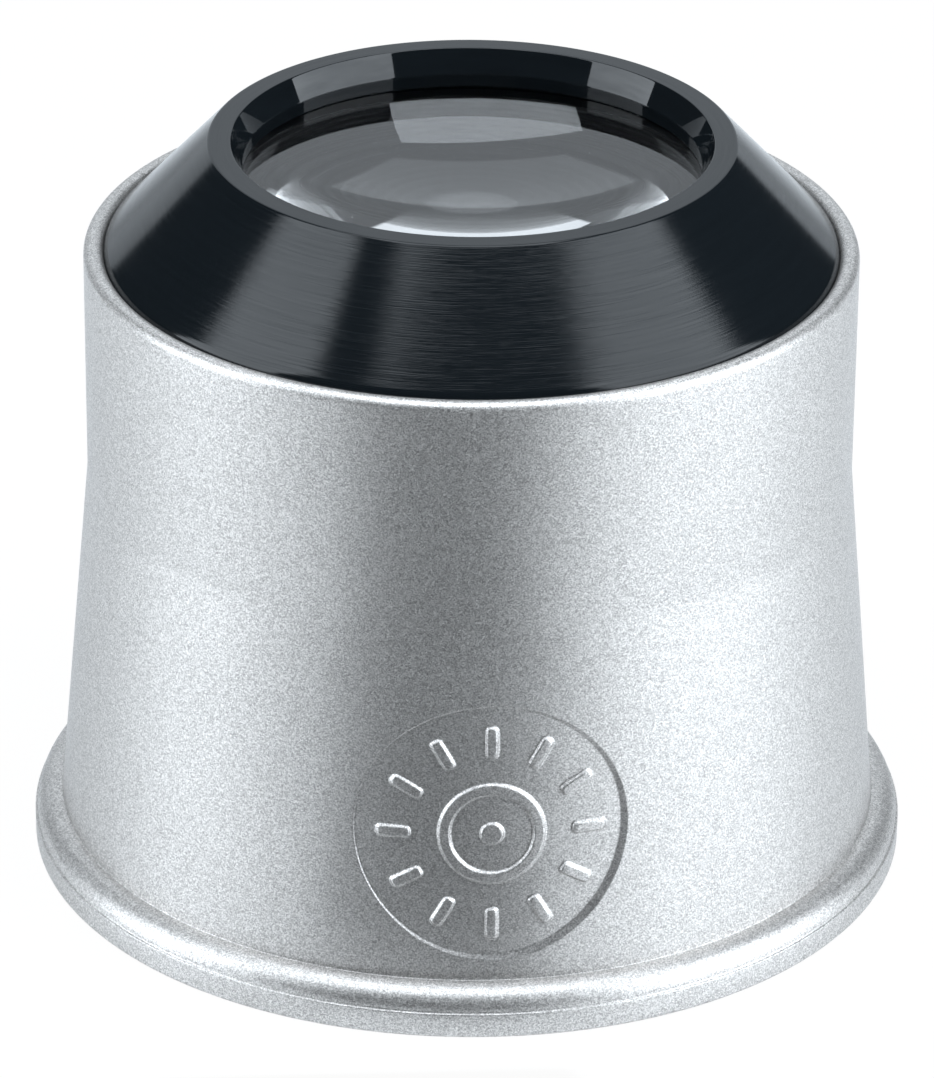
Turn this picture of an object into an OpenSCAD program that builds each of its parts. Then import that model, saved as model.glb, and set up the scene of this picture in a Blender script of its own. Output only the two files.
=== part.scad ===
// Watchmaker's loupe: a lacquered eyecup with a turned lens cell screwed into its top.
// Millimetres. Z is the optical axis, the eye rim stands on Z = 0, and the dial badge faces -Y.

/* [Eyecup] */
// Outer diameter of the eye rim
rim_d = 36; // [35.2:0.1:40]
// Height of the rim's upright edge
rim_edge_h = 1.1; // [0.6:0.1:1.8]
// Height of the round bead above that edge
bead_h = 1.15; // [0.6:0.05:1.6]
// Outer diameter of the wall where it meets the bead
foot_d = 33.7; // [32.6:0.1:34.6]
// Outer diameter of the straight barrel
barrel_d = 31.1; // [30.2:0.1:32.6]
// Height at which the tapered wall turns into the barrel
taper_h = 16.2; // [14:0.1:17.6]
// Height of the eyecup, from the eye rim to the lip
cup_h = 26.3; // [25:0.1:30]
// Thickness of the moulded wall
wall_t = 1.3; // [0.9:0.05:1.8]
// Radius that rounds the lip on the outside
lip_round = 0.55; // [0.2:0.05:0.6]
// Radius that rounds the eye rim on the inside
eye_round = 0.8; // [0.3:0.1:1]

/* [Dial badge] */
// Diameter of the shallow recess
badge_d = 10.8; // [8.6:0.1:11.8]
// Height of the recess's centre
badge_z = 8.2; // [7.8:0.1:9]
// Depth of the recess, and height of what stands in it
badge_depth = 0.15; // [0.08:0.01:0.3]
// Number of raised ticks round the dial
tick_count = 12; // [4:1:24]
// Length of a tick
tick_l = 1.3; // [0.8:0.1:1.6]
// Width of a raised line
line_w = 0.45; // [0.3:0.05:0.6]
// Outer diameter of the raised ring in the middle
badge_ring_d = 4.2; // [2.6:0.1:4.6]

/* [Lens cell] */
// Height of the cone above its foot
cone_h = 4.52; // [3.6:0.02:5.5]
// How far the cone reaches in, from its foot to its top edge
cone_w = 4.26; // [3.6:0.02:4.8]
// Width of the flat face round the window
top_land = 0.89; // [0.6:0.01:1.2]
// How far the window's countersink reaches in
sink_w = 0.48; // [0.3:0.02:0.7]
// Depth of the countersink
sink_h = 0.96; // [0.7:0.02:1.2]
// Height of the upright wall below it, down to the front lens
throat_h = 0.57; // [0.3:0.01:0.8]
// Thickness of the eyecup's lip round the cone's foot
lip_t = 0.68; // [0.5:0.02:0.9]
// How far the cone's foot lies below the lip's top
foot_sink = 0.06; // [0:0.02:0.2]
// Depth of the seat that the cell's flange rests on, from the lip's top
seat_depth = 1.4; // [1.1:0.05:2]
// Chamfer of the cone's top edge
top_chamfer = 0.08; // [0.04:0.01:0.15]

/* [Screw thread] */
// Wall of the eyecup outside the thread
boss_wall = 1.75; // [1.5:0.05:1.9]
// Rise of the thread in one turn
thread_pitch = 1; // [0.8:0.05:1.2]
// Height of the thread's ridge
thread_h = 0.5; // [0.4:0.02:0.54]

/* [Optics] */
// Radius of the lenses' curved faces, which face each other
lens_curve = 26; // [22:0.5:60]
// Thickness of a lens at its edge
lens_edge_t = 1.4; // [1:0.05:1.8]
// How far a lens reaches past the clear opening
lens_seat_w = 1.15; // [0.9:0.05:1.4]
// Air between the two lenses at the axis
lens_gap = 0.5; // [0.3:0.05:1]
// How far the spacer's wall reaches in from the lens's edge
spacer_t = 0.8; // [0.5:0.05:1]

/* [Retaining ring] */
// Height of the ring
keeper_h = 2; // [1.5:0.05:2.5]
// How much wider its thread is than the lens, on each side
keeper_step = 0.55; // [0.3:0.05:0.7]
// Width of the two spanner notches
notch_w = 1.4; // [0.8:0.1:2]
// Depth of the two spanner notches
notch_depth = 0.8; // [0.4:0.1:1.2]

/* [Clearances] */
// Gap between the cone's foot and the eyecup's lip
lip_gap = 0.08; // [0.05:0.01:0.15]
// Gap round a lens in its pocket
pocket_gap = 0.05; // [0.03:0.01:0.1]
// Gap round the screwed retaining ring
keeper_gap = 0.03; // [0.02:0.01:0.06]
// Gap between the crest of one thread and the root of the other
thread_gap = 0.15; // [0.1:0.01:0.2]
// Gap between the spacer's edge and a lens's curved face
touch_gap = 0.01; // [0.005:0.005:0.03]

/* [Hidden] */

// Fineness of round surfaces, of drawn arcs and of a turn of thread
$fn = 180;
arc_steps = 14;
thread_steps = 60;

// How far a cut runs past what it cuts
over = 1;

// Eyecup
rim_r = rim_d / 2;
foot_r = foot_d / 2;
barrel_r = barrel_d / 2;
foot_z = rim_edge_h + bead_h;
rim_ease = 0.1;
lip_r = barrel_r - lip_t;
seat_z = cup_h - seat_depth;

// Thread, as the eyecup's bore and the cell's neck
bore_r = barrel_r - boss_wall;
crest_r = bore_r - thread_gap;
neck_r = crest_r - thread_h;
bore_crest_r = neck_r + thread_gap;
ridge_bite = 0.12;
root_half = 0.36 * thread_pitch;
crest_half = 0.07 * thread_pitch;
lead_share = 0.25;
lead_floor = 0.1;

// Lens cell, from the flange in to the clear opening
flange_r = lip_r - lip_gap;
cone_z = cup_h - foot_sink;
top_z = cone_z + cone_h;
land_r = flange_r - cone_w;
window_r = land_r - top_land;
clear_r = window_r - sink_w;

// Optics, from the window down
lens_r = clear_r + lens_seat_w;
lens_top_z = top_z - sink_h - throat_h;
lens_bulge = sag(lens_r);
front_edge_z = lens_top_z - lens_edge_t;
front_apex_z = front_edge_z - lens_bulge;
rear_apex_z = front_apex_z - lens_gap;
rear_edge_z = rear_apex_z - lens_bulge;
rear_face_z = rear_edge_z - lens_edge_t;
spacer_r = lens_r - spacer_t;
spacer_top_z = front_apex_z + sag(spacer_r) - touch_gap;
spacer_low_z = rear_apex_z - sag(spacer_r) + touch_gap;

// Retaining ring and the end of the neck
pocket_r = lens_r + pocket_gap;
keeper_bore_r = lens_r + keeper_step;
keeper_r = keeper_bore_r - keeper_gap;
keeper_low_z = rear_face_z - keeper_h;
keeper_land = 0.15;
neck_end = 0.25;
neck_z = keeper_low_z - neck_end;
neck_chamfer = 0.3;
boss_chamfer = 0.5;

// Height at which the neck's thread starts, and the turns that fit up to the relief under the flange
thread_relief = 0.25;
thread_z = neck_z + thread_pitch;
thread_turns = (seat_z - thread_relief - root_half - thread_z) / thread_pitch;

// Room between the ticks' outer ends and the badge's edge
badge_margin = 0.9;

// Depth of a lens's curved face at radius r
function sag(r) = lens_curve - sqrt(lens_curve * lens_curve - r * r);

// Outer radius of the tapered wall and the barrel at height z
function wall_r(z) = z > taper_h ? barrel_r
    : barrel_r + (foot_r - barrel_r) * (taper_h - z) / (taper_h - foot_z);

// Points on an arc round c, from angle a to angle b
function arc(c, r, a, b) = [for (i = [0:arc_steps])
    [c[0] + r * cos(a + (b - a) * i / arc_steps), c[1] + r * sin(a + (b - a) * i / arc_steps)]];

// Bead: a quarter of an oval from the top of the rim's edge to the wall's foot
function bead() = [for (i = [0:arc_steps])
    [foot_r + (rim_r - foot_r) * cos(90 * i / arc_steps), rim_edge_h + bead_h * sin(90 * i / arc_steps)]];

// One section of a thread's ridge at step i of n, sunk at both ends of the thread
function ridge_section(root, crest, z, i, n) =
    let (a = 360 * i / thread_steps,
        lead = lead_share * thread_steps,
        rise = min(1, i / lead, (n - i) / lead),
        side = crest > root ? 1 : -1,
        inner = root - side * ridge_bite,
        outer = inner + (crest - inner) * max(rise, lead_floor),
        mid = z + thread_pitch * i / thread_steps)
    [for (p = [[inner, -root_half], [outer, -crest_half], [outer, crest_half], [inner, root_half]])
        [p[0] * cos(a), p[0] * sin(a), mid + p[1]]];

// Two triangles on each side between one section of the ridge and the next
function ridge_side(i, k) = let (a = 4 * i + k, b = 4 * i + (k + 1) % 4) [[a, b, b + 4], [a, b + 4, a + 4]];

// A ridge wound round the axis, from a root radius to a crest radius
module thread_ridge(root, crest, z) {
    n = round(thread_turns * thread_steps);
    flip = crest > root;
    faces = concat([[0, 3, 2], [0, 2, 1]],
        [for (i = [0:n - 1], k = [0:3]) each ridge_side(i, k)],
        [[4 * n, 4 * n + 1, 4 * n + 2], [4 * n, 4 * n + 2, 4 * n + 3]]);
    polyhedron([for (i = [0:n]) each ridge_section(root, crest, z, i, n)],
        [for (f = faces) flip ? f : [f[2], f[1], f[0]]]);
}

// Half section of the eyecup
module eyecup_section() {
    boss_low = neck_z - boss_chamfer;
    turn_z = min(taper_h, boss_low);
    inner_foot_r = wall_r(foot_z) - wall_t;
    polygon(concat(
        [[rim_r - rim_ease, 0], [rim_r, rim_ease]],
        bead(),
        [[wall_r(taper_h), taper_h]],
        arc([barrel_r - lip_round, cup_h - lip_round], lip_round, 0, 90),
        [[lip_r, cup_h], [lip_r, seat_z], [bore_r, seat_z], [bore_r, neck_z]],
        [[wall_r(boss_low) - wall_t, boss_low], [wall_r(turn_z) - wall_t, turn_z]],
        [[inner_foot_r, foot_z]],
        arc([inner_foot_r + eye_round, eye_round], eye_round, 180, 270)));
}

// What stands in the badge: ticks round a plain ring and a dot
module badge_lines() {
    reach = badge_d / 2 - badge_margin;
    for (i = [0:tick_count - 1])
        rotate(i * 360 / tick_count) translate([reach - tick_l, -line_w / 2]) square([tick_l, line_w]);
    difference() {
        circle(d = badge_ring_d);
        circle(d = badge_ring_d - 2 * line_w);
    }
    circle(r = line_w);
}

// The shallow recess, which follows the wall
module badge_recess() {
    low = badge_z - badge_d;
    high = badge_z + badge_d;
    intersection() {
        rotate_extrude() polygon([
            [wall_r(low) - badge_depth, low], [wall_r(low) + over, low],
            [wall_r(high) + over, high], [wall_r(high) - badge_depth, high],
            if (high > taper_h) [wall_r(taper_h) - badge_depth, taper_h]]);
        translate([0, 0, badge_z]) rotate([90, 0, 0]) linear_extrude(rim_r) difference() {
            circle(d = badge_d);
            badge_lines();
        }
    }
}

module eyecup() {
    color([0.78, 0.79, 0.8]) {
        difference() {
            rotate_extrude() eyecup_section();
            badge_recess();
        }
        thread_ridge(bore_r, bore_crest_r, thread_z - thread_pitch / 2);
    }
}

// Half section of the lens cell
module cell_section() {
    slope = cone_w / cone_h;
    step_z = rear_face_z + keeper_land;
    polygon([
        [neck_r - neck_chamfer, neck_z], [neck_r, neck_z + neck_chamfer],
        [neck_r, seat_z], [flange_r, seat_z], [flange_r, cone_z],
        [land_r + slope * top_chamfer, top_z - top_chamfer], [land_r - top_chamfer, top_z],
        [window_r, top_z], [clear_r, top_z - sink_h], [clear_r, lens_top_z],
        [pocket_r, lens_top_z], [pocket_r, step_z],
        [keeper_bore_r, step_z], [keeper_bore_r, neck_z]]);
}

module lens_cell() {
    color([0.1, 0.11, 0.12]) {
        rotate_extrude() cell_section();
        thread_ridge(neck_r, crest_r, thread_z);
    }
}

// A lens with its flat face on Z = 0 and its curved face below
module lens() {
    intersection() {
        translate([0, 0, lens_curve - lens_edge_t - lens_bulge]) sphere(lens_curve);
        translate([0, 0, -lens_edge_t - lens_bulge]) cylinder(h = lens_edge_t + lens_bulge, r = lens_r);
    }
}

module front_lens() {
    color([0.75, 0.85, 0.9, 0.45]) translate([0, 0, lens_top_z]) lens();
}

module rear_lens() {
    color([0.75, 0.85, 0.9, 0.45]) translate([0, 0, rear_face_z]) rotate([180, 0, 0]) lens();
}

module spacer_ring() {
    color([0.16, 0.16, 0.17]) translate([0, 0, spacer_low_z]) difference() {
        cylinder(h = spacer_top_z - spacer_low_z, r = lens_r);
        translate([0, 0, -over]) cylinder(h = spacer_top_z - spacer_low_z + 2 * over, r = spacer_r);
    }
}

module retaining_ring() {
    notch = [2 * (keeper_r - clear_r + over), notch_w, 2 * notch_depth];
    color([0.16, 0.16, 0.17]) translate([0, 0, keeper_low_z]) difference() {
        cylinder(h = keeper_h, r = keeper_r);
        translate([0, 0, -over]) cylinder(h = keeper_h + 2 * over, r = clear_r);
        for (side = [-1, 1]) translate([side * keeper_r, 0, 0]) cube(notch, center = true);
    }
}

eyecup();
lens_cell();
front_lens();
spacer_ring();
rear_lens();
retaining_ring();
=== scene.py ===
import math

import bpy
import numpy as np
from bpy.props import FloatProperty, FloatVectorProperty, IntProperty, PointerProperty
from mathutils import Matrix, Vector


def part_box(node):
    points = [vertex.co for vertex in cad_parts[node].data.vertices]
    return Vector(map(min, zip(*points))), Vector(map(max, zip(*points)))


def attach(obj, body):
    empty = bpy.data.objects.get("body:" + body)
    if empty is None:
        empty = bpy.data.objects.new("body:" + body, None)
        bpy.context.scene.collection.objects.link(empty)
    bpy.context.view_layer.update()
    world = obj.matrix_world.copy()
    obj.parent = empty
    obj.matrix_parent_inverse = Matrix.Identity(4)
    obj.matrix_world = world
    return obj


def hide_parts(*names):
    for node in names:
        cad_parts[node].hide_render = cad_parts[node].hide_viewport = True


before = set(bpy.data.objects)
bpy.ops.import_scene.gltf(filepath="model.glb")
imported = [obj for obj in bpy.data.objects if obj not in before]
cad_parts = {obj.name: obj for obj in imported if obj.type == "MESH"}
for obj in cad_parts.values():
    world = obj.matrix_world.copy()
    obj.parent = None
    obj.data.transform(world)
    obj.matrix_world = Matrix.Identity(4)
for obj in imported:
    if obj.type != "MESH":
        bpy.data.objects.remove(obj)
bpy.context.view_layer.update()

bl_info = {
    "name": "Watchmaker's loupe",
    "version": (1, 0, 0),
    "blender": (4, 5, 0),
    "location": "3D View > Sidebar > Loupe",
    "description": "Builds an eye-held loupe: lacquered eyecup, turned lens cell, lenses and studio",
    "category": "Object",
}

MM = 0.001
DAYLIGHT = "#eef7ff"
# A rounded corner has eight points, and this one is in its middle.
HALF_CORNER = 3
# The thread's ridge: how far its base and its crest reach to each side of its middle, in pitches, how much of
# its base lies under the surface, and how far below the seat it ends, both in millimetres.
THREAD_BASE = 0.36
THREAD_CREST = 0.07
THREAD_SUNK = 0.12
THREAD_END = 0.25


def low(node):
    """Height of a node's lowest point at rest, in metres."""
    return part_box(node)[0].z


def high(node):
    """Height of a node's highest point at rest, in metres."""
    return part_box(node)[1].z


def reach(node):
    """Outer radius of a round node, in metres."""
    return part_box(node)[1].x


def linear(code):
    """Scene colour of an sRGB hex code: a channel up to 0.04045 is divided by 12.92, and any other has 0.055
    added, is divided by 1.055 and raised to the power of 2.4."""
    channels = [int(code[i : i + 2], 16) / 255 for i in (1, 3, 5)]
    return tuple(c / 12.92 if c <= 0.04045 else ((c + 0.055) / 1.055) ** 2.4 for c in channels)


def length(name, description, default):
    """A size in metres that the sidebar shows in the scene's units."""
    return FloatProperty(
        name=name, description=description, default=default, unit="LENGTH", subtype="DISTANCE", precision=5
    )


def tint(name, description, code):
    """A colour given as an sRGB hex code."""
    return FloatVectorProperty(
        name=name, description=description, default=linear(code), subtype="COLOR", min=0, max=1
    )


# Sizes


class EyecupSizes(bpy.types.PropertyGroup):
    rim: length("Rim radius", "Outer radius of the eye rim", reach("eyecup"))
    height: length("Height", "From the eye rim to the lip", high("eyecup"))
    edge_h: length("Rim edge", "Height of the rim's plain edge", 0.00104)
    bead_h: length("Bead", "Height of the round bead above the edge", 0.00093)
    ledge: length("Ledge", "How far the edge stands out from the bead", 0.00008)
    foot: length("Foot radius", "Radius of the wall where it meets the bead", 0.01685)
    barrel: length("Barrel radius", "Radius of the straight barrel", 0.01555)
    taper_h: length("Taper height", "Where the tapered wall turns into the barrel", 0.01668)
    wall: length("Wall", "Thickness of the moulded wall", 0.0013)
    lip: length("Lip radius", "Inner radius of the lip", 0.01475)
    lip_outer: length("Lip's outer curve", "Radius of the lip's curve outside its highest line", 0.00038)
    lip_inner: length("Lip's inner curve", "Radius of the lip's curve inside its highest line", 0.0004)
    lip_rise: length("Lip's rise", "How far the lip's highest line stands above its node", 0.000075)
    seat_z: length("Seat", "Height of the seat that the cell's flange rests on", 0.0249)
    bore: length("Bore radius", "Radius at the root of the eyecup's thread", 0.0138)
    boss_z: length("Boss", "Height of the threaded boss's lower end", low("lens_cell"))
    columns: IntProperty(
        name="Columns", description="Columns round the eyecup outside its badge", default=228, min=60, max=400
    )


class BadgeSizes(bpy.types.PropertyGroup):
    radius: length("Radius", "Radius of the badge", 0.0054)
    centre_z: length("Centre", "Height of the badge's centre", 0.0082)
    depth: length("Depth", "Depth of the recess in the middle", 0.0001)
    lean: length("Lean", "How much deeper the recess is at its right edge than in the middle", 0.000055)
    relief: length("Relief", "Height of the raised lines", 0.00013)
    line: length("Line", "Width of a raised line", 0.00045)
    tick: length("Tick", "Length of a tick", 0.0013)
    margin: length("Margin", "From the ticks' outer ends to the badge's edge", 0.0009)
    ring: length("Ring", "Outer radius of the ring in the middle", 0.0021)
    bevel: length("Bevel", "Width of a raised line's soft side", 0.00014)


class CellSizes(bpy.types.PropertyGroup):
    top: length("Top", "Height of the flat face round the window", high("lens_cell"))
    flange: length("Flange radius", "Outer radius of the flange and of the cone's foot", reach("lens_cell"))
    cone_z: length("Cone's foot", "Height of the cone's foot", 0.02624)
    land: length("Top edge radius", "Outer radius of the flat face", 0.01053)
    window: length("Window radius", "Radius of the window at the top", 0.00964)
    clear: length("Clear radius", "Radius of the clear opening", 0.00916)
    foot_gap: length("Foot gap", "How far the flange stays inside its node's radius", 0.00002)
    foot_round: length("Foot rounding", "Radius of the cone's foot", 0.00075)
    sink_h: length("Countersink", "Depth of the window's countersink", 0.00096)
    neck: length("Neck radius", "Radius at the root of the cell's thread", 0.01315)
    pocket: length("Pocket radius", "Radius of the lens pocket", reach("front_lens") + 0.00005)
    keeper: length(
        "Keeper radius", "Radius of the retaining ring's thread", reach("retaining_ring") + 0.00003
    )
    pitch: length("Pitch", "Rise of the thread in one turn", 0.001)
    ridge: length("Ridge", "Height of the thread's ridge", 0.0005)


class OpticsSizes(bpy.types.PropertyGroup):
    curve: length("Curve", "Radius of the lenses' curved faces", 0.026)
    edge: length("Edge", "Thickness of a lens at its edge", 0.0014)
    spacer_wall: length("Spacer wall", "How far the spacer reaches in", 0.0008)
    notch_w: length("Notch width", "Width of the retaining ring's spanner notches", 0.0014)
    notch_h: length("Notch depth", "Depth of the retaining ring's spanner notches", 0.0008)


class Finishes(bpy.types.PropertyGroup):
    # Painted light and shade on the lacquer's flakes: at random, and whatever the lamps do, each flake takes
    # the first colour as if it caught the light or the second as if it faced away.
    lacquer: tint("Lacquer", "Colour of the lacquer's flakes that face the light", "#edeae7")
    lacquer_painted_shade: tint("Lacquer grain", "Colour of the lacquer's flakes that face away", "#9b9896")
    anodised: tint("Anodised", "Colour of the black anodised cell", "#101417")
    inner: tint("Inside", "Colour of the moulded inside", "#141517")
    blasted: tint("Blasted", "Colour of the matt black rings", "#0f1011")
    ground: tint("Ground glass", "Colour of a lens's ground edge", "#3a3d3f")
    glass_ior: FloatProperty(
        name="Glass index", description="Refractive index of the lenses", default=1.5168, min=1, max=2
    )


class Studio(bpy.types.PropertyGroup):
    left: FloatProperty(name="Left panel", description="Strength of the left panel", default=4.5, min=0)
    right: FloatProperty(name="Right panel", description="Strength of the right panel", default=4.5, min=0)
    top: FloatProperty(name="Overhead", description="Strength of the overhead panel", default=4.5, min=0)
    room: FloatProperty(
        name="Room", description="Strength of the plain light from all round", default=0.12, min=0
    )
    backdrop: FloatProperty(
        name="Backdrop", description="Strength of the white backdrop in gloss and glass", default=0.96, min=0
    )
    away: length("Panel distance", "From the loupe's axis to each side panel", 0.25)


# Outlines and surfaces


def rounded(section, steps=6, hold=0.02):
    """Each corner of a closed section as an arc that touches both of its sides, as a list of arrays in
    millimetres. A corner is given by its radius, its height and its rounding. The arc turns the vector from
    its centre to the first touching point into the one to the second, by the sine rule for turning vectors,
    and takes at most 0.92 of a side. A point on each side, hold away, keeps the sides flat where shading is
    smoothed."""
    section = np.asarray(section, float)
    c, radii = section[:, :2], section[:, 2]
    back, fore = np.roll(c, 1, 0) - c, np.roll(c, -1, 0) - c
    to_back, to_fore = np.linalg.norm(back, axis=1), np.linalg.norm(fore, axis=1)
    back, fore = back / to_back[:, None], fore / to_fore[:, None]
    half = np.arccos(np.clip((back * fore).sum(1), -1, 1)) / 2
    trim = np.minimum(radii / np.tan(half), 0.92 * np.minimum(to_back, to_fore))
    middle = back + fore
    centre = c + middle / np.linalg.norm(middle, axis=1)[:, None] * (trim / np.cos(half))[:, None]
    first, last = c + back * trim[:, None], c + fore * trim[:, None]
    turn = (np.pi - 2 * half)[:, None, None]
    t = np.linspace(0, 1, steps)[None, :, None]
    arc = np.sin((1 - t) * turn) * (first - centre)[:, None] + np.sin(t * turn) * (last - centre)[:, None]
    arc = centre[:, None] + arc / np.sin(turn)
    before, after = first + back * hold, last + fore * hold
    return list(np.concatenate([before[:, None], arc, after[:, None]], 1))


def straight(start, end, steps):
    """Points between two points of an outline, evenly spaced, without the two ends."""
    t = np.linspace(0, 1, steps + 1)[1:-1, None]
    return np.asarray(start) * (1 - t) + np.asarray(end) * t


def joined(*pieces):
    """The pieces of an outline as one array, with the row that each piece starts at."""
    starts = np.cumsum([0] + [len(p) for p in pieces])
    return np.concatenate(pieces), starts


def full_turn(columns):
    """The angles of a full turn in even steps."""
    return np.linspace(0, 2 * np.pi, columns + 1)[:-1]


def turned(outline, around):
    """Points of an outline turned about Z: x is the radius times the sine of the turn from -Y, and y is minus
    the radius times its cosine."""
    r, z = outline[:, 0, None], outline[:, 1, None]
    return np.stack([r * np.sin(around), -r * np.cos(around), z + 0 * r * around], -1)


def ring_faces(rows, columns, closed=True):
    """Four-sided faces of a grid of rows that closes round the axis, and if closed also from its last row to
    its first."""
    i = np.arange(rows if closed else rows - 1)[:, None]
    j = np.arange(columns)[None, :]
    here, above, right = i * columns, (i + 1) % rows * columns, (j + 1) % columns
    return np.stack([here + j, here + right, above + right, above + j], -1)


def by_row(rows, faces):
    """The number of each face's material: 1 on the rows that are true, and 0 elsewhere."""
    return np.where(rows[:, None], 1, 0) + np.zeros(faces.shape[:2], int)


def soft_step(x):
    """0 below 0, 1 above 1, and 3x^2 - 2x^3 between them."""
    x = np.clip(x, 0, 1)
    return x * x * (3 - 2 * x)


def solid(name, points, faces, materials, parts=None):
    """A smooth mesh from points in millimetres and faces. parts gives the number of each face's material."""
    mesh = bpy.data.meshes.new(name)
    mesh.from_pydata((np.asarray(points) * MM).tolist(), [], faces)
    for material in materials:
        mesh.materials.append(material)
    if parts is not None:
        mesh.polygons.foreach_set("material_index", np.asarray(parts, np.int32))
    mesh.polygons.foreach_set("use_smooth", np.ones(len(faces), bool))
    mesh.update()
    if mesh.validate():
        raise RuntimeError(f"{name}: the mesh had faulty faces")
    piece = bpy.data.objects.new(name, mesh)
    bpy.context.scene.collection.objects.link(piece)
    return piece


def fitted(piece, body, slot, *nodes):
    """The piece rides on its body and stands for its nodes, which are hidden. slot is not used."""
    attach(piece, body)
    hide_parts(*nodes)
    return piece


def thread_height(around, z, first_z, pitch, turns, ridge):
    """Height of a helical ridge, in millimetres. The distance along Z to the nearest turn, in pitches, gives
    a trapezium between THREAD_BASE and THREAD_CREST, of which only what stands above the surface is kept.
    Both ends rise over a quarter turn."""
    from_x = np.mod(around - np.pi / 2, 2 * np.pi) / (2 * np.pi)
    along = np.round((z - first_z) / pitch - from_x) + from_x
    off = np.abs(z - first_z - along * pitch) / pitch
    lead = np.clip(np.minimum(along, turns - along) / 0.25, 0, 1)
    tall = ridge + THREAD_SUNK
    flank = np.clip((THREAD_BASE - off) / (THREAD_BASE - THREAD_CREST), 0, 1) * tall - THREAD_SUNK
    return np.clip(np.minimum(flank, lead * tall - THREAD_SUNK), 0, None)


def cut_thread(points, outline, around, rows, bottom, seat, cell, shift, side):
    """Raises a thread on some rows of a turned piece, outwards for side 1 and inwards for side -1. Its first
    turn starts one pitch above bottom, less shift pitches, and it ends below the seat."""
    pitch = cell.pitch / MM
    first_turn = bottom + pitch
    turns = (seat - THREAD_END - THREAD_BASE * pitch - first_turn) / pitch
    first_z = first_turn - shift * pitch
    r, z = outline[rows, 0, None], outline[rows, 1, None]
    r = r + side * thread_height(around[None, :], z, first_z, pitch, turns, cell.ridge / MM)
    points[rows, :, 0] = r * np.sin(around)
    points[rows, :, 1] = -r * np.cos(around)


# Materials


def add(tree, kind, settings=None, links=None, **values):
    """A new node. values are its own properties, settings its input sockets by name or number, and links the
    sockets that feed its inputs."""
    node = tree.nodes.new(kind)
    for key, value in values.items():
        setattr(node, key, value)
    for key, value in (settings or {}).items():
        node.inputs[key].default_value = value
    for key, socket in (links or {}).items():
        tree.links.new(socket, node.inputs[key])
    return node


def shade(colour, share=1.0):
    """A colour made a share as bright, as a socket takes it."""
    return (*(channel * share for channel in colour), 1)


def blank_material(name):
    """A material, its emptied tree, and the place on the piece that its patterns follow."""
    material = bpy.data.materials.new(name)
    material.use_nodes = True
    tree = material.node_tree
    tree.nodes.clear()
    return material, tree, add(tree, "ShaderNodeTexCoord").outputs["Object"]


def surfaced(material, shader):
    """The material with its shader as its surface."""
    tree = material.node_tree
    add(tree, "ShaderNodeOutputMaterial", None, {"Surface": shader.outputs[0]})
    return material


def grained(tree, place, size, detail, roughness, colours, gloss):
    """Fine grain, size metres wide: a noise, and by it a colour between the two colours and a roughness.
    Noise from 0.3 to 0.7 gives roughness from the first to the second of gloss."""
    noise = add(
        tree, "ShaderNodeTexNoise", {"Scale": 1 / size, "Detail": detail, "Roughness": roughness},
        {"Vector": place},
    ).outputs["Fac"]
    colour = add(tree, "ShaderNodeMix", {6: colours[0], 7: colours[1]}, {0: noise}, data_type="RGBA")
    rough = add(
        tree, "ShaderNodeMapRange",
        {"From Min": 0.3, "From Max": 0.7, "To Min": gloss[0], "To Max": gloss[1]}, {"Value": noise},
    )
    return noise, colour.outputs[2], rough.outputs["Result"]


def ray_kinds(tree):
    """Two sockets: 1 where the camera sees a surface directly, and 1 where it's seen in gloss or through
    glass."""
    ray = add(tree, "ShaderNodeLightPath").outputs
    mirrored = add(
        tree, "ShaderNodeMath", None, {0: ray["Is Glossy Ray"], 1: ray["Is Transmission Ray"]},
        operation="MAXIMUM",
    )
    return ray["Is Camera Ray"], mirrored.outputs[0]


def silver_lacquer(finishes):
    """Satin silver lacquer on ABS. Aluminium flakes, each with its own gloss, lie in slight waves and give a
    fine sparkle, drawn 0.04 mm wide so that it shows. Each flake also takes a light or a dark colour at
    random: a painted highlight and a painted shade that stand in for flakes catching the light or facing
    away, so the sparkle is partly painted. A clear binder gives the soft sheen and keeps the flakes from
    brightening where they are seen at a low angle, and clouds in the spray change its gloss a little."""
    material, tree, place = blank_material("silver_lacquer")
    clouds = add(tree, "ShaderNodeTexNoise", {"Scale": 1 / 0.004, "Roughness": 0.5}, {"Vector": place})
    flakes = add(tree, "ShaderNodeTexVoronoi", {"Scale": 1 / 0.00004}, {"Vector": place})
    chance = add(tree, "ShaderNodeSeparateXYZ", None, {0: flakes.outputs["Color"]})
    # Painted highlight and painted shade: the flake's random colour stands in for it catching the light or
    # facing away from it.
    colour = add(
        tree, "ShaderNodeMix", {6: shade(finishes.lacquer_painted_shade), 7: shade(finishes.lacquer)},
        {0: chance.outputs[0]}, data_type="RGBA",
    )
    gloss = add(tree, "ShaderNodeMapRange", {"To Min": 0.29, "To Max": 0.55}, {"Value": chance.outputs[1]})
    rough = add(
        tree, "ShaderNodeMath", {1: 0.06}, {0: clouds.outputs["Fac"], 2: gloss.outputs["Result"]},
        operation="MULTIPLY_ADD",
    )
    waves = add(tree, "ShaderNodeTexNoise", {"Scale": 1 / 0.00005, "Roughness": 0.7}, {"Vector": place})
    bump = add(
        tree, "ShaderNodeBump", {"Strength": 1.0, "Distance": 0.000003}, {"Height": waves.outputs["Fac"]}
    )
    shader = add(
        tree, "ShaderNodeBsdfPrincipled",
        {
            "Metallic": 0.9, "Specular Tint": shade((0.66, 0.66, 0.66)), "Coat Weight": 0.12,
            "Coat Roughness": 0.35,
        },
        {"Base Color": colour.outputs[2], "Roughness": rough.outputs[0], "Normal": bump.outputs[0]},
    )
    return surfaced(material, shader)


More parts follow.
